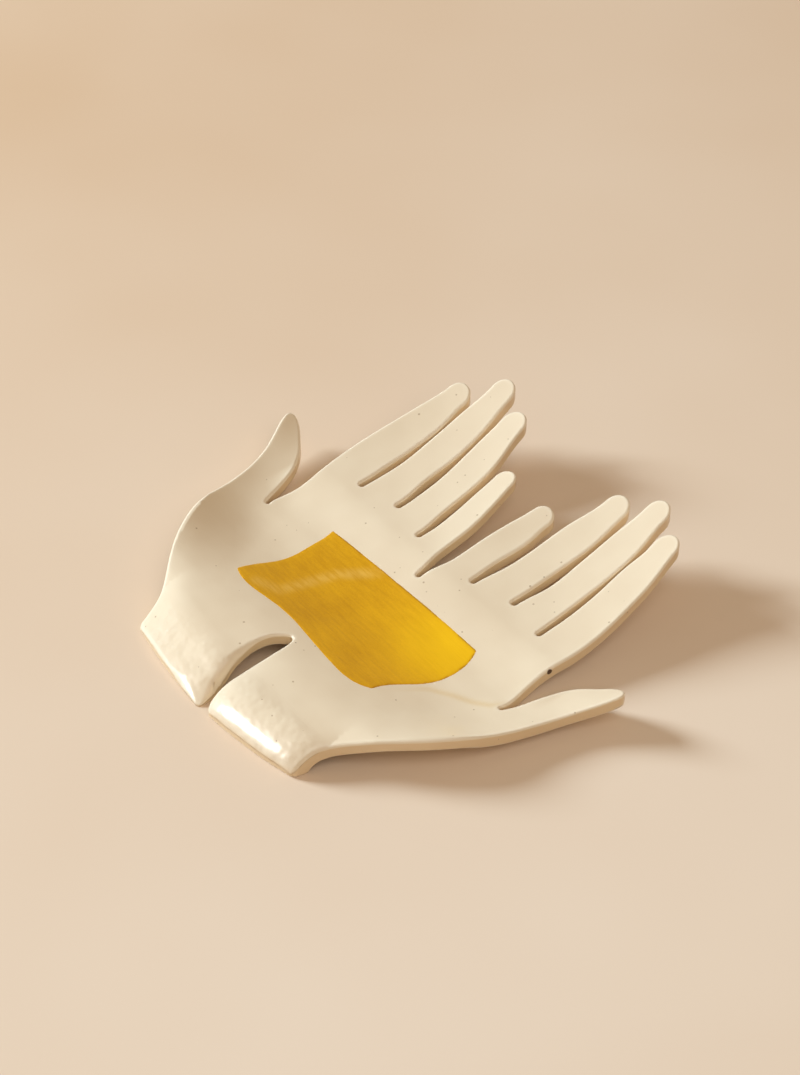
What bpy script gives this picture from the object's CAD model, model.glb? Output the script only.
# %% [markdown]
# # A ceramic dish of two open hands
# The object is a shallow dish, cut from slabs of clay in the shape of two open hands, joined along
# the palms, glazed cream, with one painted panel of mustard glaze. This lesson dresses the solid
# model of the dish in Blender. The solid model gives every place and size, and here its edges
# become soft, its surface a little uneven, and its glazes real.

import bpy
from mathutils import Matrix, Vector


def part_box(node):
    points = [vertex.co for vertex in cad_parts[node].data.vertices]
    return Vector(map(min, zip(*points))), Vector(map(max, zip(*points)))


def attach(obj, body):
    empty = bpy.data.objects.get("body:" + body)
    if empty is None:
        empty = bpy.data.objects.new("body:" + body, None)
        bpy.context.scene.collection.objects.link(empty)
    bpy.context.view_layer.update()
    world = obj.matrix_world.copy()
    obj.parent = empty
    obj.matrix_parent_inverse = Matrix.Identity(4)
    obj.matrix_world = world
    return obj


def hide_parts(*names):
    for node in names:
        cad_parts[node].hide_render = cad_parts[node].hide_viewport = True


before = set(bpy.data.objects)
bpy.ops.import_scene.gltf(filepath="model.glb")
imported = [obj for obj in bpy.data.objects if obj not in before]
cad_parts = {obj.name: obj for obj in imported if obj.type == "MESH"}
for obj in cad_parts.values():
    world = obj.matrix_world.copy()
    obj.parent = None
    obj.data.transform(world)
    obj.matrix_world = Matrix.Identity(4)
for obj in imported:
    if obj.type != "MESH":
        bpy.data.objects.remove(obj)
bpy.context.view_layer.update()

# %% [markdown]
# Blender's own modules come next. numpy handles thousands of points at once, and `mathutils` has
# the triangulation that turns a flat outline into faces.

# %% Modules
import math
import bmesh
import bpy
import numpy as np
from mathutils import Vector
from mathutils.geometry import delaunay_2d_cdt

MM = 0.001

# %% [markdown]
# ## Camera
# The camera stands a little over 40 degrees above the table and looks across the palms from the
# thumb side of the right hand, through a long lens, as the photographer did. A long lens keeps
# far and near fingers nearly the same size.

# %% Camera
camera_data = bpy.data.cameras.new("camera")
camera = bpy.data.objects.new("camera", camera_data)
bpy.context.scene.collection.objects.link(camera)
camera_data.lens = 84.6
camera_data.sensor_width = 36
camera.location = (0.5166, -0.4092, 0.6326)
looked_at = Vector((-0.0260, 0.0202, 0))
camera.rotation_euler = (looked_at - camera.location).to_track_quat("-Z", "Y").to_euler()
bpy.context.scene.camera = camera
print("camera to dish:", round((looked_at - camera.location).length, 3), "m")

# %% [markdown]
# ## Colours
# Shaders count light, so they need linear colours, and a colour read from a colour chart is not
# linear. This helper converts the chart's 0 to 255 values.

# %% Colours
def chart_colour(red, green, blue):
    """Linear colour with alpha from the 0 to 255 values of a colour chart."""
    linear = []
    for value in (red, green, blue):
        share = value / 255
        linear.append(share / 12.92 if share <= 0.04045 else ((share + 0.055) / 1.055) ** 2.4)
    return (*linear, 1)


# %% [markdown]
# ## A small helper for materials
# Every finish here is a tree of nodes around one shader. `Finish` keeps the tree, adds nodes and
# joins sockets, so that each finish below reads as a list of what its surface is made of.

# %% Material helper
class Finish:
    """A new material with one main shader, and short calls to add and join nodes."""

    def __init__(self, name):
        self.material = bpy.data.materials.new(name)
        self.material.use_nodes = True
        self.tree = self.material.node_tree
        self.shader = self.tree.nodes["Principled BSDF"]
        self.place = self.node("ShaderNodeTexCoord").outputs["Object"]

    def node(self, kind, **settings):
        made = self.tree.nodes.new(kind)
        for key, value in settings.items():
            setattr(made, key, value)
        return made

    def join(self, source, target):
        self.tree.links.new(source, target)

    def noise(self, scale, detail=3, roughness=0.5, place=None):
        """Cloudy values around a half. A scale of 100 makes clouds about 10 mm wide."""
        made = self.node("ShaderNodeTexNoise")
        made.inputs["Scale"].default_value = scale
        made.inputs["Detail"].default_value = detail
        made.inputs["Roughness"].default_value = roughness
        self.join(place or self.place, made.inputs["Vector"])
        return made.outputs["Fac"]

    def spread(self, value, low, high, to_low=0, to_high=1):
        """The value's range low to high, moved to another range and cut off there."""
        made = self.node("ShaderNodeMapRange")
        ends = {"From Min": low, "From Max": high, "To Min": to_low, "To Max": to_high}
        for key, number in ends.items():
            made.inputs[key].default_value = number
        self.join(value, made.inputs["Value"])
        return made.outputs["Result"]

    def mix(self, share, first, second):
        """Colour between two colours. Each may be a colour or another node's output."""
        made = self.node("ShaderNodeMix", data_type="RGBA")
        self.join(share, made.inputs["Factor"])
        for index, colour in ((6, first), (7, second)):
            if isinstance(colour, tuple):
                made.inputs[index].default_value = colour
            else:
                self.join(colour, made.inputs[index])
        return made.outputs[2]

    def math(self, operation, first, second=0.0):
        made = self.node("ShaderNodeMath", operation=operation)
        for socket, value in zip(made.inputs, (first, second)):
            if isinstance(value, (int, float)):
                socket.default_value = value
            else:
                self.join(value, socket)
        return made.outputs["Value"]

    def bump(self, value, depth, strength=1.0, after=None):
        """A relief of the value, depth metres from 0 to 1, on top of another relief."""
        made = self.node("ShaderNodeBump")
        made.inputs["Distance"].default_value = depth
        made.inputs["Strength"].default_value = strength
        self.join(value, made.inputs["Height"])
        if after is not None:
            self.join(after, made.inputs["Normal"])
        return made.outputs["Normal"]

    def attribute(self, name):
        return self.node("ShaderNodeAttribute", attribute_name=name).outputs["Fac"]


# %% [markdown]
# ## The table top
# The dish lies on a plain pale surface, warm beige with a touch of pink. It is one big plane. Its
# paint is a little darker towards the far side and the left, and has a very soft cloud in it,
# which keeps it from looking empty.

# %% Table top
floor_finish = Finish("table_paint")
floor_axes = floor_finish.node("ShaderNodeSeparateXYZ")
floor_finish.join(floor_finish.place, floor_axes.inputs["Vector"])
far_side = floor_finish.math("SUBTRACT", floor_axes.outputs["Y"], floor_axes.outputs["X"])
right_side = floor_finish.math("ADD", floor_axes.outputs["Y"], floor_axes.outputs["X"])
darker_far = floor_finish.spread(far_side, -0.25, 0.45, 0, 0.6)
darker_left = floor_finish.spread(right_side, -0.3, 0.1, 0.35, 0)
cloud = floor_finish.spread(floor_finish.noise(6.0, detail=2), 0.3, 0.7, -0.1, 0.1)
floor_drift = floor_finish.math("ADD", floor_finish.math("ADD", darker_far, darker_left), cloud)
floor_colour = floor_finish.mix(floor_drift, chart_colour(232, 214, 193), chart_colour(212, 182, 150))
floor_finish.join(floor_colour, floor_finish.shader.inputs["Base Color"])
floor_finish.shader.inputs["Roughness"].default_value = 0.85
floor_finish.shader.inputs["Specular IOR Level"].default_value = 0.2

floor_mesh = bpy.data.meshes.new("table_top")
FLOOR_HALF = 6.0
floor_mesh.from_pydata([(-FLOOR_HALF, -FLOOR_HALF, 0), (FLOOR_HALF, -FLOOR_HALF, 0),
                        (FLOOR_HALF, FLOOR_HALF, 0), (-FLOOR_HALF, FLOOR_HALF, 0)], [], [(0, 1, 2, 3)])
floor_mesh.materials.append(floor_finish.material)
floor = bpy.data.objects.new("table_top", floor_mesh)
bpy.context.scene.collection.objects.link(floor)
print("table top:", 2 * FLOOR_HALF, "m wide")

# %% [markdown]
# ## Light
# One large cool lamp stands low to the left of the picture, like a window, so the shadows run to
# the right and their edges are soft. A pale ceiling adds a little from above, and the rest of the
# room is a plain warm glow, which fills the shadows with brown. Together they are white on the
# table, so each colour looks as it is written. What the glaze mirrors is set apart from this: a
# bright panel stands so low that only steep clay, the lip of the right wrist, mirrors it.

# %% Lamps and room
def lamp(name, size, power, colour, place, target=(0, 0, 0)):
    data = bpy.data.lights.new(name, "AREA")
    data.shape = "DISK"
    data.size = size
    data.energy = power
    data.color = colour
    made = bpy.data.objects.new(name, data)
    made.location = place
    made.rotation_euler = (Vector(target) - Vector(place)).to_track_quat("-Z", "Y").to_euler()
    bpy.context.scene.collection.objects.link(made)
    return made


# Directions on the table, as the picture shows them
image_right = Vector((0.6205, 0.7842, 0))
image_away = Vector((-0.7842, 0.6205, 0))
window_place = image_right * -2.3 + image_away * 0.95 + Vector((0, 0, 1.15))
window = lamp("window", size=0.95, power=112.0, colour=(0.72, 0.87, 1.0), place=window_place)
window.visible_glossy = False
ceiling_place = image_right * 0.5 + image_away * -1.1 + Vector((0, 0, 1.7))
lamp("ceiling", size=1.6, power=12.2, colour=(1.0, 0.96, 0.92), place=ceiling_place)
glint_place = image_right * -2.14 + image_away * -0.44 + Vector((0, 0, 0.71))
glint = lamp("glint", size=1.0, power=85.0, colour=(1.0, 0.98, 0.95), place=glint_place)
glint.visible_diffuse = False

world = bpy.data.worlds.new("room")
bpy.context.scene.world = world
world.use_nodes = True
room = world.node_tree.nodes["Background"]
room.inputs["Color"].default_value = (1.0, 0.75, 0.50, 1)
room.inputs["Strength"].default_value = 0.36
bpy.context.scene.view_settings.view_transform = "Standard"
print("the window stands", round(window_place.length, 2), "m away and", round(window_place.z, 2), "m up")

# %% [markdown]
# ## The surface as a height formula
# The top of the clay slab is one soft surface: a heel that stands up off the table, a flat palm,
# a step at the knuckles, fingers that curl up, a rim that rises to the thumb, and a lip that
# bends down at the wrist. Each of these is one short term, worked out for all points at once.
# Sizes are in millimetres, with y counted from the wrists, and x from the joint of the hands.

# %% Sizes of the surface
hand_reach, hand_length = 96.5, 176.0
slab_thickness, foot_depth = 5.0, 0.6
wrist_inner_x, wrist_inner_y = 3.6, -7.4
wrist_outer_x, wrist_outer_y = 0.477 * hand_reach, -1.6
wrist_bow = 1.0
wrist_arch, wrist_arch_run = 2.2, 26.0
from_wrist = 81.21

heel_height, knuckle_step, curl_height, cup_depth = 8.0, 3.6, 21.0, 4.0
ball_rise, web_rise, rise_width = 6.4, 2.0, 29.0

# Places along the hand, as shares of its length from the wrist
heel_top, heel_run = 0.102, 0.279
knuckle_start, knuckle_end, curl_run = 0.42, 0.557, 0.409
ball, web = 0.284, 0.591

# Places across the hand, as shares of its reach from the joint
cup_middle, index_side, thumb_side = 0.352, 0.715, 0.808
edge_at_wrist, edge_at_ball, edge_at_web = 0.425, 0.798, 0.995


def lip(radius, turn, ramp):
    """The lip of a wrist: the radius of its bend, the bend's length, and the ramp after it."""
    return radius, radius * math.sin(math.radians(turn)), ramp


right_lip, left_lip = lip(14.0, 68, 0.0), lip(18.0, 31, 10.3)


def smooth(value, start, end):
    """Go from 0 at start to 1 at end with no kink."""
    share = np.clip((value - start) / (end - start), 0, 1)
    return share * share * (3 - 2 * share)


# %% [markdown]
# The hand is read from two shares: how far aside of the joint a point lies, and how far along from
# the wrist. The fingers step up at the knuckles and curl like a parabola. The thumb side rises in a
# band along the outer edge. At the wrist the clay arches a little, then bends down to the table.

# %% Terms of the surface
def finger_height(aside, along):
    """The step at the knuckles, the curl of the fingers and the cup across them."""
    step = knuckle_step * smooth(along, knuckle_start, knuckle_end)
    curl = curl_height * (np.maximum(along - knuckle_end, 0) / curl_run) ** 2
    across = (np.minimum(aside, index_side) - cup_middle) / cup_middle
    cup = cup_depth * across ** 2 * smooth(along, 0.426, 0.739)
    return (step + curl + cup) * (1 - 0.7 * smooth(aside, index_side, thumb_side))


def rim_height(aside, along):
    """The thumb side, highest along the outer edge of the hand."""
    along = np.minimum(along, web)
    edge = (edge_at_wrist * (along - ball) * (along - web) / (ball * web)
            + edge_at_ball * along * (along - web) / (ball * (ball - web))
            + edge_at_web * along * (along - ball) / (web * (web - ball)))
    share = np.maximum(1 - np.maximum(edge - aside, 0) * hand_reach / rise_width, 0) ** 2
    return share * (ball_rise * smooth(along, 0.045, 0.295) + web_rise * smooth(along, 0.466, web))


def wrist_drop(x, y):
    """How far the wrist is lower: its low arch, and the lip that bends down to the table."""
    middle = (wrist_inner_x + wrist_outer_x) / 2
    across = np.minimum(abs(abs(x) - middle) / (wrist_outer_x - middle), 1.15)
    arch = wrist_arch * across ** 4 * (1 - smooth(y, 0, wrist_arch_run))
    share = (abs(x) - wrist_inner_x) / (wrist_outer_x - wrist_inner_x)
    bow = wrist_bow * np.maximum(1 - (2 * share - 1) ** 2, 0)
    cut = wrist_inner_y + (wrist_outer_y - wrist_inner_y) * share - bow
    radius, bend, ramp = (np.where(x < 0, left, right) for left, right in zip(left_lip, right_lip))
    past = np.maximum(cut + ramp + bend - y, 0)
    on_arc = np.minimum(past, bend)
    height = np.sqrt(radius ** 2 - on_arc ** 2)
    return arch + radius - height + (past - on_arc) * bend / height


# %% [markdown]
# The terms add up to the top of the slab. The underside lies one thickness below it, measured
# square to the top. Where that would be inside the table it is cut off flat: that is the foot on
# which the dish stands.

# %% Height of the top and the underside
def top_height(x, y):
    """Height of the top of the slab over the table. The left hand is at negative x."""
    aside, along = abs(x) / hand_reach, y / hand_length
    heel = heel_height * np.cos(np.clip((along - heel_top) / heel_run, 0, 1) * np.pi / 2) ** 2
    low = slab_thickness - foot_depth
    return low + heel + finger_height(aside, along) + rim_height(aside, along) - wrist_drop(x, y)


def slopes_of(height, x, y, step=0.05):
    """The slopes of a height formula along x and y, measured over a short step."""
    return ((height(x + step, y) - height(x - step, y)) / (2 * step),
            (height(x, y + step) - height(x, y - step)) / (2 * step))


def low_surface(x, y):
    """Height and slopes of the underside: one thickness below the top, square to it, or the table."""
    over_x, over_y = x.copy(), y.copy()
    for _ in range(10):
        slope_x, slope_y = slopes_of(top_height, over_x, over_y)
        length = np.sqrt(1 + slope_x ** 2 + slope_y ** 2)
        over_x = x - slope_x / length * slab_thickness
        over_y = y - slope_y / length * slab_thickness
    height = top_height(over_x, over_y) - slab_thickness / length
    lifted = height > 0
    return np.maximum(height, 0), slope_x * lifted, slope_y * lifted


# %% [markdown]
# The formula has to agree with the solid model. The points of the solid's curved top are compared
# with it here, so a slip in a number shows at once.

# %% Compare the formula with the solid model
FACING_UP = 0.6
for side in ("right_hand", "left_hand"):
    solid_faces = [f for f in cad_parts[side].data.polygons if f.normal.z > FACING_UP]
    middles = np.array([f.center for f in solid_faces]) / MM
    apart = np.abs(middles[:, 2] - top_height(middles[:, 0], middles[:, 1] + from_wrist))
    print(side, "formula and solid differ by", round(float(np.median(apart)), 3), "mm in the middle of all,",
          "and at most", round(float(apart.max()), 3), "mm, at", middles[apart.argmax()].round(1))

# %% [markdown]
# ## The outline of each hand
# The outline is the line where the top of the solid meets its upright walls. The solid is made of
# flat triangles, so that line can be read from it: it is every edge between an upright triangle
# and one that faces up. Then the short straight runs are turned into one smooth curve.

# %% Read the outline of a solid
UPRIGHT = 0.25


def outline_of(node):
    """Points, in order, of the line where the top of a solid meets its walls, in millimetres."""
    solid = bmesh.new()
    solid.from_mesh(node.data)
    bmesh.ops.remove_doubles(solid, verts=solid.verts, dist=2e-6)
    solid.normal_update()
    following = {}
    for edge in solid.edges:
        faces = edge.link_faces
        upright = [abs(face.normal.z) < UPRIGHT for face in faces]
        if sum(upright) == 1:
            upper = faces[upright.index(False)]
            if upper.normal.z > 0:
                loop = next(lp for lp in edge.link_loops if lp.face == upper)
                following[loop.vert.index] = loop.link_loop_next.vert.index
    places = {v.index: v.co.copy() for v in solid.verts}
    solid.free()
    first = min(following, key=lambda i: (round(places[i].y, 5), abs(places[i].x)))
    order = [first]
    while following[order[-1]] != first:
        order.append(following[order[-1]])
    return np.array([[places[i].x / MM, places[i].y / MM + from_wrist] for i in order])


# %% [markdown]
# The smooth curve passes through every point that was read. In each point it leans between the two
# straight runs that meet there, and more towards the shorter one.

# %% A smooth curve through points
def lengths_along(line):
    """How far along a line each of its points lies."""
    return np.concatenate([[0], np.cumsum(np.linalg.norm(np.diff(line, axis=0), axis=1))])


def smooth_line(points, spacing):
    """Evenly spaced points on a smooth curve through the given ones, which keeps both ends."""
    runs = np.linalg.norm(np.diff(points, axis=0), axis=1)
    slopes = np.diff(points, axis=0) / runs[:, None]
    inner = runs[1:, None] * slopes[:-1] + runs[:-1, None] * slopes[1:]
    inner /= (runs[1:] + runs[:-1])[:, None]
    tangents = np.vstack([slopes[:1], inner, slopes[-1:]])
    fine = []
    for i, run in enumerate(runs):
        t = np.linspace(0, 1, max(int(run / 0.1), 1), endpoint=False)[:, None]
        fine.append(points[i] * (2 * t ** 3 - 3 * t ** 2 + 1)
                    + points[i + 1] * (3 * t ** 2 - 2 * t ** 3)
                    + run * (tangents[i] * (t ** 3 - 2 * t ** 2 + t)
                             + tangents[i + 1] * (t ** 3 - t ** 2)))
    fine = np.vstack(fine + [points[-1:]])
    along = lengths_along(fine)
    wanted = np.linspace(0, along[-1], int(along[-1] / spacing) + 1)
    return np.column_stack([np.interp(wanted, along, fine[:, k]) for k in (0, 1)])


# %% [markdown]
# The joint between the palms isn't a rim: the clay runs on there. So each outline is opened at the
# joint, and only the free part gets rounded edges. The slabs were cut with a knife by hand, so the
# curve also wanders a little, by about a tenth of a millimetre. A sponge blunted the tip of the
# right thumb, and pushed its inner edge out a little.

# %% The free rim of each hand
ON_JOINT = 0.004
RIM_SPACING, RIM_WANDER = 0.6, 0.07
THUMB_SWELL, SPONGE_STROKES = 1.8, 16


def outward_of(line):
    """Directions, square to an outline and away from the clay inside it."""
    ahead = np.gradient(line, axis=0)
    ahead /= np.linalg.norm(ahead, axis=1)[:, None]
    return np.column_stack([ahead[:, 1], -ahead[:, 0]])


def wander(line, size):
    """Shift a line a little to its sides, and not at all at the joint of the hands."""
    along = lengths_along(line)
    shift = (0.5 * np.sin(along / 3.1 + 1.0) + 0.8 * np.sin(along / 5.3 + np.sin(along / 17))
             + np.sin(along / 9.7 + 2.0))
    fade = smooth(abs(line[:, 0]), 1.0, 6.0)
    return line - outward_of(line) * (size * shift * fade)[:, None]


def sponged_thumb(line):
    """The outline of the right hand with a fuller, blunter end on its thumb."""
    past = lengths_along(line)
    past -= past[line[:, 0].argmax()]
    swell = THUMB_SWELL * smooth(past, -2.0, 8.0) * (1 - smooth(past, 20.0, 32.0))
    line = line + outward_of(line) * swell[:, None]
    share = 1 - smooth(abs(past), 5.0, 10.0)
    for _ in range(SPONGE_STROKES):
        middle = (np.roll(line, 1, axis=0) + np.roll(line, -1, axis=0)) / 2
        line = line + (middle - line) * share[:, None]
    return line


def free_rim(side):
    """The outline of one hand without the joint, from one end of the joint to the other."""
    loop = outline_of(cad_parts[side])
    on_joint = abs(loop[:, 0]) < ON_JOINT
    ends = np.flatnonzero(on_joint & ~np.roll(on_joint, -1))
    loop = np.roll(loop, -int(ends[0]), axis=0)
    last = int(np.flatnonzero(abs(loop[:, 0]) < ON_JOINT)[1])
    line = smooth_line(loop[:last + 1], RIM_SPACING)
    line[[0, -1], 0] = 0
    if side == "right_hand":
        line = sponged_thumb(line)
    return wander(line, RIM_WANDER)


rims = {side: free_rim(side) for side in ("right_hand", "left_hand")}
for side, line in rims.items():
    print(side, "rim:", len(line), "points,", "from", line[0].round(1), "to", line[-1].round(1))

# %% [markdown]
# ## Soft edges by distance
# Wet clay is wiped with a sponge before firing, so no edge of the real dish is sharp. Here each
# point of the surface is lowered by how near it is to the rim: nothing at the radius of the edge,
# and one radius at the rim itself, along a quarter circle. This also works in the narrow ends
# of the slits, where a bevel would tangle. The direction towards the rim is kept too, because
# the shading needs it.

# %% Distance to the rim
def nearest_on(points, lines):
    """Distance from each point to the nearest of several lines, and the direction towards it."""
    nearest, towards = np.zeros(len(points)), np.zeros((len(points), 2))
    batch = 400
    starts = np.vstack([line[:-1] for line in lines])
    runs = np.vstack([np.diff(line, axis=0) for line in lines])
    squares = (runs ** 2).sum(1)
    for first in range(0, len(points), batch):
        offset = points[first:first + batch][:, None] - starts[None]
        share = np.clip((offset * runs).sum(2) / squares, 0, 1)
        gap = offset - share[..., None] * runs
        best = (gap ** 2).sum(2).argmin(1)
        chosen = gap[np.arange(len(gap)), best]
        length = np.linalg.norm(chosen, axis=1)
        nearest[first:first + batch] = length
        towards[first:first + batch] = -chosen / np.maximum(length, 1e-9)[:, None]
    return nearest, towards


def distance_to(points, lines):
    return nearest_on(points, lines)[0]


def inside(points, loop):
    """Which points lie inside a closed loop."""
    result = np.zeros(len(points), bool)
    for (x0, y0), (x1, y1) in zip(loop, np.roll(loop, -1, axis=0)):
        if y0 != y1:
            crosses = (points[:, 1] < y0) != (points[:, 1] < y1)
            result ^= crosses & (points[:, 0] < x0 + (points[:, 1] - y0) * (x1 - x0) / (y1 - y0))
    return result


def edge_drop(distance, radius):
    """How far a rounded edge has dropped at a distance from the rim."""
    inward = np.clip(radius - distance, 0, radius)
    return radius - np.sqrt(radius ** 2 - inward ** 2)


# %% [markdown]
# ## Clay is never quite even
# A slab that was rolled, cut and pressed by hand keeps faint hills and hollows. They are much too
# low to see from the side, but a glossy glaze shows them in its reflections.

# %% Hills and hollows
# Each wave: its height and length in millimetres, its direction in degrees, and where it starts
WAVES = ((0.06, 43, 20, 0.3), (0.05, 29, 75, 1.9), (0.04, 21, 130, 4.0), (0.025, 14, 50, 2.2),
         (0.018, 11, 160, 5.1), (0.008, 6.5, 100, 0.9))


def unevenness(x, y):
    """Height of the hand-made hills and hollows, in millimetres, x counted over both hands."""
    total = np.zeros_like(x)
    for size, length, lean, start in WAVES:
        towards = math.radians(lean)
        total += size * np.sin(2 * np.pi * (x * math.cos(towards) + y * math.sin(towards)) / length + start)
    return total


# %% [markdown]
# One crease runs from the painted panel over the ball of the right thumb to its web, as a line
# of the palm does. It is a shallow groove, a third of a millimetre deep.

# %% The crease of the palm
CREASE_DEPTH = 0.3
CREASE = np.array([(37.5, 43), (45, 57.5), (52.4, 62.6), (59.2, 66), (65, 70.1), (67.3, 74.8)])


def crease_share(x, y):
    """1 in the middle of the crease, and 0 from 2 mm beside it."""
    gap = distance_to(np.column_stack([x, y]), [CREASE])
    return (1 - smooth(gap, 0, 2.0)) * smooth(x, 37, 48) * (1 - smooth(x, 64, 68))


# %% [markdown]
# All that shapes the top comes together here. The rim has one radius all round, but for the edge of
# the left wrist at the slot, which a thumb smoothed into a wide roll.

# %% Height of the finished top
RIM_RADIUS, WIDER_ROLL = 1.15, 2.3


def edge_radius(x, y, thick):
    """Radius of the rounded rim: much wider where the left wrist was smoothed towards the slot."""
    wide = WIDER_ROLL * (1 - smooth(y, 4, 26)) * (1 - smooth(-x, 8, 20)) * (x < 0)
    return np.minimum(RIM_RADIUS + wide, 0.6 * thick)


def finished_height(x, y):
    return top_height(x, y) + unevenness(x, y)


def dish_top(x, y, distance):
    """The finished top: the surface, its hills, its crease and its rounded rim."""
    radius = edge_radius(x, y, top_height(x, y) - low_surface(x, y)[0])
    return finished_height(x, y) - CREASE_DEPTH * crease_share(x, y) - edge_drop(distance, radius)


# %% [markdown]
# ## One flat net of points for each hand
# The outline, rows of points that follow it closely, and an even net in the middle are joined into
# triangles once, flat. The same triangles then make both the top and the underside.

# %% Points and triangles of one hand
RIM_ROWS = (0.06, 0.2, 0.42, 0.7, 1.05, 1.5, 2.1, 2.8)
NET_STEP = 1.35
ROW_HEIGHT = 0.866
JOINT_CLEAR = 0.35
seam_ends = (rims["right_hand"][-1, 1], rims["right_hand"][0, 1])
JOINT_LOW, JOINT_HIGH = min(seam_ends), max(seam_ends)
joint_steps = [JOINT_LOW + d for d in RIM_ROWS]
joint_steps += list(np.arange(JOINT_LOW + 3.8, JOINT_HIGH - 3.4, 1.1))
joint_steps += [JOINT_HIGH - d for d in reversed(RIM_ROWS)]


def filled(points, loop_count):
    """Triangles between points, inside the closed loop that the first of them make."""
    edges = [(i, (i + 1) % loop_count) for i in range(loop_count)]
    made = delaunay_2d_cdt([Vector(p) for p in points], edges, [], 1, 1e-5)
    back = [original[0] for original in made[3]]
    return np.array([[back[i] for i in face] for face in made[2]])


def flat_net(rim, is_left):
    """Flat points of one hand, its triangles, and how many points the loop around it has."""
    joint = np.column_stack([np.zeros(len(joint_steps)), joint_steps])
    if rim[-1, 1] > rim[0, 1]:
        joint = joint[::-1]
    loop = np.vstack([rim, joint])
    extra = [rim - outward_of(rim) * row for row in RIM_ROWS]
    rows = np.arange(rim[:, 1].min(), rim[:, 1].max(), NET_STEP * ROW_HEIGHT)
    columns = np.arange(-2, hand_reach + 4, NET_STEP)
    net = np.array([(x + (k % 2) * NET_STEP / 2, y) for k, y in enumerate(rows) for x in columns])
    net[:, 0] *= -1 if is_left else 1
    keep_from = [row * 0.93 for row in RIM_ROWS] + [RIM_ROWS[-1] + 0.45]
    kept = []
    for points, least in zip(extra + [net], keep_from):
        good = inside(points, loop) & (abs(points[:, 0]) > JOINT_CLEAR)
        points = points[good]
        kept.append(points[distance_to(points, rims.values()) >= least])
    points = np.vstack([loop] + kept)
    return points, filled(points, len(loop)), len(loop)


nets = {side: flat_net(rims[side], side == "left_hand") for side in rims}
for side, (points, triangles, loop_count) in nets.items():
    print(side, len(points), "points,", len(triangles), "triangles")

# %% [markdown]
# ## The two hands
# Each hand is closed all round: the top, the underside, the cut wall between them, and the hidden
# wall in the joint. Gloss shows every small fault in the shading, so the direction of the surface
# is worked out for each point from the same formulas, and the mesh keeps it. It is the same on
# both sides of the joint, because the two hands are one piece of clay after the kiln.

# %% Heights and directions of one hand
WALL_ROWS = 4
COIL_HALF, CHANNEL_DEPTH = 2.5, 0.5
LOW_RIM_RADIUS = 0.85


def leaned(slopes, outward, lean, facing):
    """Directions square to a surface, turned outward where its rim is rounded."""
    square = np.column_stack([-slopes[0] * facing, -slopes[1] * facing, np.full(len(lean), facing)])
    square /= np.linalg.norm(square, axis=1)[:, None]
    return square * np.sqrt(1 - lean ** 2)[:, None] + outward * lean[:, None]


def hand_points(points, rim, loop_count):
    """Points of one hand and their directions: top, underside, and the rows of the wall."""
    x, y = points.T
    distance, towards = nearest_on(points, rims.values())
    distance[:len(rim)] = 0
    towards[:len(rim)] = outward_of(rim)
    outward = np.column_stack([towards, np.zeros(len(points))])
    base, low_x, low_y = low_surface(x, y)
    thick = top_height(x, y) - base
    low_round = np.minimum(LOW_RIM_RADIUS, 0.3 * thick)
    top = dish_top(x, y, distance)
    low = base + edge_drop(distance, low_round)
    along_joint = smooth(y, JOINT_LOW + 1.5, JOINT_LOW + 3.5)
    along_joint *= 1 - smooth(y, JOINT_HIGH - 3.5, JOINT_HIGH - 1.5)
    low += CHANNEL_DEPTH * along_joint * (1 - smooth(abs(x), COIL_HALF - 1.0, COIL_HALF))
    top_lean = np.clip(1 - distance / edge_radius(x, y, thick), 0, 1)
    low_lean = np.clip(1 - distance / low_round, 0, 1)
    shape = [np.column_stack([x, y, top]), np.column_stack([x, y, low])]
    facing = [leaned(slopes_of(finished_height, x, y), outward, top_lean, 1.0),
              leaned((low_x, low_y), outward, low_lean, -1.0)]
    ring = slice(0, loop_count)
    for k in range(1, WALL_ROWS):
        share = k / WALL_ROWS
        shape.append(np.column_stack([x[ring], y[ring], top[ring] * (1 - share) + low[ring] * share]))
        facing.append(outward[ring])
    return np.vstack(shape), np.vstack(facing)


def hand_faces(triangles, count, loop_count):
    """Faces of one hand: top, underside and walls."""
    faces = [tuple(t) for t in triangles] + [tuple(t[::-1] + count) for t in triangles]
    rings = [0] + [2 * count + k * loop_count for k in range(WALL_ROWS - 1)] + [count]
    for upper, lower in zip(rings, rings[1:]):
        for i in range(loop_count):
            j = (i + 1) % loop_count
            faces.append((upper + i, lower + i, lower + j, upper + j))
    return faces


# %% [markdown]
# Both hands are made the same way. The triangles have to face outward, so the first one is tested,
# and if it faces down, all are turned round.

# %% Build both hands
made_hands = {}
for side, (points, triangles, loop_count) in nets.items():
    shape, facing = hand_points(points, rims[side], loop_count)
    shape[:, 1] -= from_wrist
    faces = hand_faces(triangles, len(points), loop_count)
    a, b, c = (shape[i] for i in faces[0])
    if np.cross(b - a, c - a)[2] < 0:
        faces = [f[::-1] for f in faces]
    made_hands[side] = (shape, faces, facing)
    print(side, len(shape), "points,", len(faces), "faces, height up to", round(shape[:, 2].max(), 2), "mm")

# %% [markdown]
# ## Cream glaze
# The glaze is a warm cream with a soft gloss. On the rims it runs thin, so they are a little
# lighter, and on the cut walls the brown clay shows through it. The iron in the clay bites through
# in tiny brown specks, and one pinhole opened on the cut wall below the right index finger.
# Over the lips of the wrists the glaze ran, and set in ripples that break up the reflection.
# Clouds of noise give the colour its drift, and a net of cells gives the specks.

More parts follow.
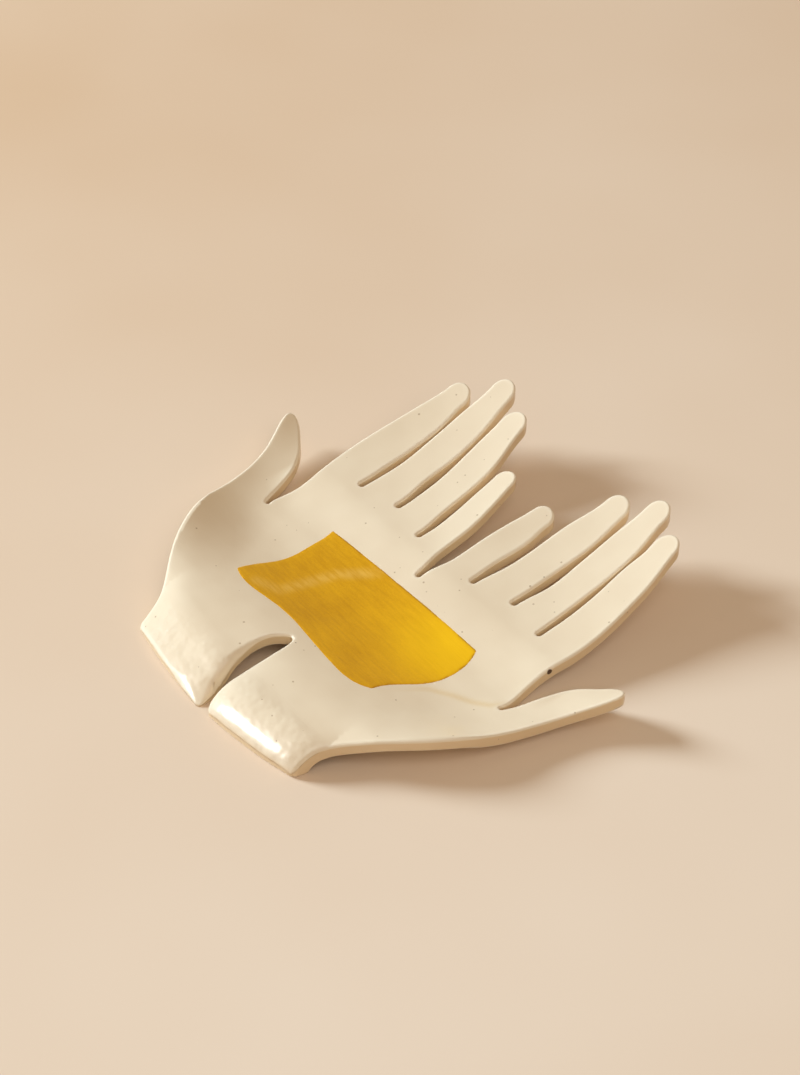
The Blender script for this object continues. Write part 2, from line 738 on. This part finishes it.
# %% Cream glaze
def specks(finish, scale, size, share):
    """1 in small round specks, in only a share of the cells of a net."""
    cells = finish.node("ShaderNodeTexVoronoi")
    cells.inputs["Scale"].default_value = scale
    finish.join(finish.place, cells.inputs["Vector"])
    split = finish.node("ShaderNodeSeparateColor")
    finish.join(cells.outputs["Color"], split.inputs["Color"])
    chosen = finish.math("LESS_THAN", split.outputs["Red"], share)
    reach = finish.spread(split.outputs["Green"], 0, 1, size * 0.5, size)
    near = finish.math("LESS_THAN", cells.outputs["Distance"], reach)
    return finish.math("MULTIPLY", chosen, near)


cream = Finish("cream_glaze")
drift = cream.noise(26, detail=4, roughness=0.55)
colour = cream.mix(cream.spread(drift, 0.3, 0.7), chart_colour(227, 208, 179), chart_colour(232, 215, 187))
fine_specks = specks(cream, scale=260, size=0.12, share=0.25)
large_specks = specks(cream, scale=90, size=0.055, share=0.45)
for where, strength, tint in ((cream.attribute("rim"), 0.5, (240, 227, 204)),
                              (cream.attribute("wall"), 0.55, (222, 190, 142)),
                              (cream.attribute("crease"), 0.35, (214, 176, 96)),
                              (fine_specks, 0.55, (150, 118, 82)),
                              (large_specks, 0.8, (112, 80, 52))):
    colour = cream.mix(cream.math("MULTIPLY", where, strength), colour, chart_colour(*tint))

# The pinhole, on the wall nearest to where the photo shows it
PINHOLE_NEAR, PINHOLE_HEIGHT = (66.3, 94.4), 7.5
right_rim = rims["right_hand"]
pinhole_x, pinhole_y = right_rim[np.linalg.norm(right_rim - PINHOLE_NEAR, axis=1).argmin()]
from_pinhole = cream.node("ShaderNodeVectorMath", operation="DISTANCE")
cream.join(cream.place, from_pinhole.inputs[0])
from_pinhole.inputs[1].default_value = (pinhole_x * MM, (pinhole_y - from_wrist) * MM, PINHOLE_HEIGHT * MM)
pinhole = cream.spread(from_pinhole.outputs["Value"], 0.9 * MM, 1.2 * MM, 1, 0)
colour = cream.mix(pinhole, colour, chart_colour(70, 42, 20))
cream.join(colour, cream.shader.inputs["Base Color"])
cream.join(cream.spread(cream.noise(60), 0.3, 0.7, 0.3, 0.4), cream.shader.inputs["Roughness"])
relief = cream.bump(cream.noise(130, detail=2), 0.0001, 0.5)
relief = cream.bump(cream.noise(700, detail=1), 0.00002, 0.3, after=relief)
ripples = cream.math("MULTIPLY", cream.noise(230, detail=1), cream.attribute("lip"))
cream.join(cream.bump(ripples, 0.0006, 0.8, after=relief), cream.shader.inputs["Normal"])
cream.shader.inputs["Coat Weight"].default_value = 0.35
cream.shader.inputs["Coat Roughness"].default_value = 0.12
print("cream glaze:", len(cream.tree.nodes), "nodes")

# %% [markdown]
# The material asks each point how near it is to a rim, whether it is on a cut wall, and whether it
# is in the crease, where the mustard glaze ran in thinly. Each mesh stores the answers as
# attributes, `rim`, `wall`, `lip` and `crease`.

# %% Put the hands in the scene
def add_piece(name, shape, faces, material, normals=None, attributes=None):
    """A mesh object from points in millimetres, smooth shaded."""
    mesh = bpy.data.meshes.new(name)
    mesh.from_pydata((np.asarray(shape) * MM).tolist(), [], [tuple(int(i) for i in f) for f in faces])
    mesh.polygons.foreach_set("use_smooth", [True] * len(mesh.polygons))
    mesh.materials.append(material)
    for key, values in (attributes or {}).items():
        made = mesh.attributes.new(key, "FLOAT", "POINT")
        made.data.foreach_set("value", np.asarray(values, np.float32))
    if normals is not None:
        lengths = np.linalg.norm(normals, axis=1)
        normals = normals / np.where(lengths > 0, lengths, 1)[:, None]
        normals[lengths == 0] = (0, 0, 1)
        mesh.normals_split_custom_set_from_vertices(normals.tolist())
    piece = bpy.data.objects.new(name, mesh)
    bpy.context.scene.collection.objects.link(piece)
    return piece


for side, (shape, faces, facing) in made_hands.items():
    flat = shape[:, :2] + (0, from_wrist)
    steep = 1 - smooth(abs(facing[:, 2]), 0, 0.35)
    near_rim = (1 - smooth(distance_to(flat, rims.values()), 0.2, 2.2)) * (1 - steep)
    on_lip = (1 - smooth(flat[:, 1], 6, 12)) * (facing[:, 2] > 0)
    in_crease = crease_share(*flat.T) * (facing[:, 2] > 0)
    piece = add_piece(side + "_glazed", shape, faces, cream.material, facing,
                      {"rim": near_rim, "wall": steep, "lip": on_lip, "crease": in_crease})
    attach(piece, "root")
    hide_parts(side)

# %% [markdown]
# ## The painted panel
# One broad patch of mustard glaze was brushed over both palms before firing. Glaze is thin, a
# tenth of a millimetre, and thinner still where the brush left its edge. The panel follows the
# finished surface of the hands, so it dips and rises with them.

# %% Mustard glaze panel
CORNER_TURN = 35
PANEL_STEP, PANEL_EDGE_CLEAR = 0.9, 0.5
COAT_THICKNESS, COAT_SUNK = 0.16, 0.04


def line_between_corners(loop, spacing):
    """A closed line that is smooth along each side and keeps its sharp corners."""
    ahead = np.roll(loop, -1, axis=0) - loop
    behind = np.roll(ahead, 1, axis=0)
    sideways = behind[:, 0] * ahead[:, 1] - behind[:, 1] * ahead[:, 0]
    turn = np.arctan2(sideways, (ahead * behind).sum(1))
    corners = np.flatnonzero(abs(turn) > math.radians(CORNER_TURN))
    loop = np.roll(loop, -corners[0], axis=0)
    ends = list(corners - corners[0]) + [len(loop)]
    loop = np.vstack([loop, loop[:1]])
    sides = [wander(smooth_line(loop[a:b + 1], spacing), 0.06)[:-1] for a, b in zip(ends, ends[1:])]
    print("panel with", len(corners), "corners")
    return np.vstack(sides)


panel_line = line_between_corners(outline_of(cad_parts["mustard_glaze_panel"]), RIM_SPACING)
panel_rows, panel_columns = np.arange(30, 90, PANEL_STEP), np.arange(-60, 60, PANEL_STEP)
panel_net = np.array([(x, y) for y in panel_rows for x in panel_columns])
panel_net = panel_net[inside(panel_net, panel_line)]
closed = np.vstack([panel_line, panel_line[:1]])
panel_net = panel_net[distance_to(panel_net, [closed]) > PANEL_EDGE_CLEAR]
panel_points = np.vstack([panel_line, panel_net])
panel_faces = filled(panel_points, len(panel_line))
x, y = panel_points.T
inner = distance_to(panel_points, [closed])
inner[:len(panel_line)] = 0
rim_gap = distance_to(panel_points, rims.values())
under = dish_top(x, y, rim_gap)
upper = under - COAT_SUNK + COAT_THICKNESS * smooth(inner, 0, 1.3)
count = len(panel_points)
shape = np.vstack([np.column_stack([x, y - from_wrist, z]) for z in (upper, under - 0.1)])
faces = [tuple(t) for t in panel_faces] + [tuple(t[::-1] + count) for t in panel_faces]
around = list(range(len(panel_line)))
faces += [(i, i + count, j + count, j) for i, j in zip(around, around[1:] + around[:1])]
print("panel:", len(shape), "points,", len(faces), "faces")

# %% [markdown]
# The brush went along the panel, and left fine streaks: thin glaze is bright yellow, thick glaze
# is deep ochre. Noise that is stretched along the stroke gives the streaks, and a broad noise lets
# the coat grow thin and thick. Three attributes hold what this one panel shows: `bright` where the
# coat is thinnest, at its far right corner, `pale` in a wiped band near its left end, and `edge`
# where the glaze piled up along its border.

# %% Mustard glaze
mustard = Finish("mustard_glaze")
lean = mustard.node("ShaderNodeMapping")
lean.inputs["Rotation"].default_value = (0, 0, math.radians(-8))
lean.inputs["Scale"].default_value = (0.12, 1.0, 1.0)
mustard.join(mustard.place, lean.inputs["Vector"])
streaks = mustard.noise(950, detail=4, roughness=0.6, place=lean.outputs["Vector"])
patches = mustard.noise(45, detail=3)
grain = mustard.noise(1500, detail=2)
coat = mustard.math("ADD", mustard.math("MULTIPLY", streaks, 0.4), mustard.math("MULTIPLY", patches, 0.4))
coat = mustard.math("ADD", coat, mustard.math("MULTIPLY", grain, 0.2))
colour = mustard.mix(mustard.spread(coat, 0.38, 0.62), chart_colour(203, 145, 4), chart_colour(225, 167, 10))
for key, strength, tint in (("bright", 0.8, (245, 192, 5)),
                            ("pale", mustard.spread(streaks, 0.4, 0.6, 0.15, 0.5), (230, 186, 92)),
                            ("edge", 0.45, (204, 138, 2))):
    share = mustard.math("MULTIPLY", mustard.attribute(key), strength)
    colour = mustard.mix(share, colour, chart_colour(*tint))
mustard.join(colour, mustard.shader.inputs["Base Color"])
mustard.join(mustard.spread(streaks, 0.35, 0.65, 0.3, 0.42), mustard.shader.inputs["Roughness"])
relief = mustard.bump(streaks, 0.00012, 0.5)
relief = mustard.bump(mustard.noise(110, detail=2), 0.00025, 0.5, after=relief)
mustard.join(relief, mustard.shader.inputs["Normal"])
mustard.shader.inputs["Coat Weight"].default_value = 0.2
mustard.shader.inputs["Coat Roughness"].default_value = 0.15
print("mustard glaze:", len(mustard.tree.nodes), "nodes")

# %% [markdown]
# The three shares that the finish asks for are worked out at each point of the panel, and then the
# panel is put in the scene.

# %% Put the panel in the scene
PALE_BAND = np.array([(-32, 41), (-24.2, 45), (-23.4, 56), (-21, 68), (-12, 80)])
edge = 1 - smooth(inner, 0.1, 1.2)
bright = 1 - smooth(np.hypot(x - 38, y - 82), 4, 40)
pale = (1 - smooth(distance_to(panel_points, [PALE_BAND]), 0, 4.5)) * (1 - edge)
painted = {key: np.concatenate([values] * 2)
           for key, values in (("edge", edge), ("bright", bright), ("pale", pale))}
panel = add_piece("mustard_glaze_brushed", shape, faces, mustard.material, None, painted)
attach(panel, "root")
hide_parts("mustard_glaze_panel")

# %% [markdown]
# ## The coil under the joint
# Under the palms, a soft coil of clay was pressed into the joint and smoothed with a thumb. It is
# a low band with slanting thumb marks, flush with the clay around it, and flat where it stands.

# %% Seam coil
COIL_ROWS, COIL_COLUMNS = 150, 15
MARK_PITCH, MARK_DEPTH = 4.4, 0.12
low_corner, high_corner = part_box("seam_coil")
along = np.linspace(low_corner.y / MM, high_corner.y / MM, COIL_ROWS)
across = np.linspace(-COIL_HALF, COIL_HALF, COIL_COLUMNS)
grid_x, grid_y = np.meshgrid(across, along)
nominal = low_surface(grid_x.ravel(), grid_y.ravel() + from_wrist)[0].reshape(grid_x.shape)
crown = 1 - (grid_x / COIL_HALF) ** 2
ends = smooth(grid_y, along[0], along[0] + 2) * (1 - smooth(grid_y, along[-1] - 2, along[-1]))
marks = (MARK_DEPTH * np.sin(2 * np.pi * (grid_y + 0.5 * grid_x) / MARK_PITCH)
         + 0.06 * np.sin(grid_y / 1.3))
low = nominal + 0.45 - (0.5 * crown ** 0.5 + marks * crown) * ends
low = np.maximum(low, 0.0)
high = nominal + 1.4
rows, columns = grid_x.shape
shape = np.vstack([np.column_stack([grid_x.ravel(), grid_y.ravel(), z.ravel()]) for z in (low, high)])
half = rows * columns
faces = []
for r in range(rows - 1):
    for c in range(columns - 1):
        i = r * columns + c
        faces.append((i, i + columns, i + columns + 1, i + 1))
        faces.append((half + i, half + i + 1, half + i + columns + 1, half + i + columns))
border = ([c for c in range(columns)] + [r * columns + columns - 1 for r in range(1, rows)]
          + [(rows - 1) * columns + c for c in range(columns - 2, -1, -1)]
          + [r * columns for r in range(rows - 2, 0, -1)])
faces += [(i, j, half + j, half + i) for i, j in zip(border, border[1:] + border[:1])]
coil = add_piece("seam_coil_smoothed", shape, faces, cream.material, None,
                 {key: np.zeros(len(shape)) for key in ("rim", "wall", "lip", "crease")})
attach(coil, "root")
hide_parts("seam_coil")
print("coil:", round(along[-1] - along[0], 1), "mm long,", 2 * COIL_HALF, "mm wide")
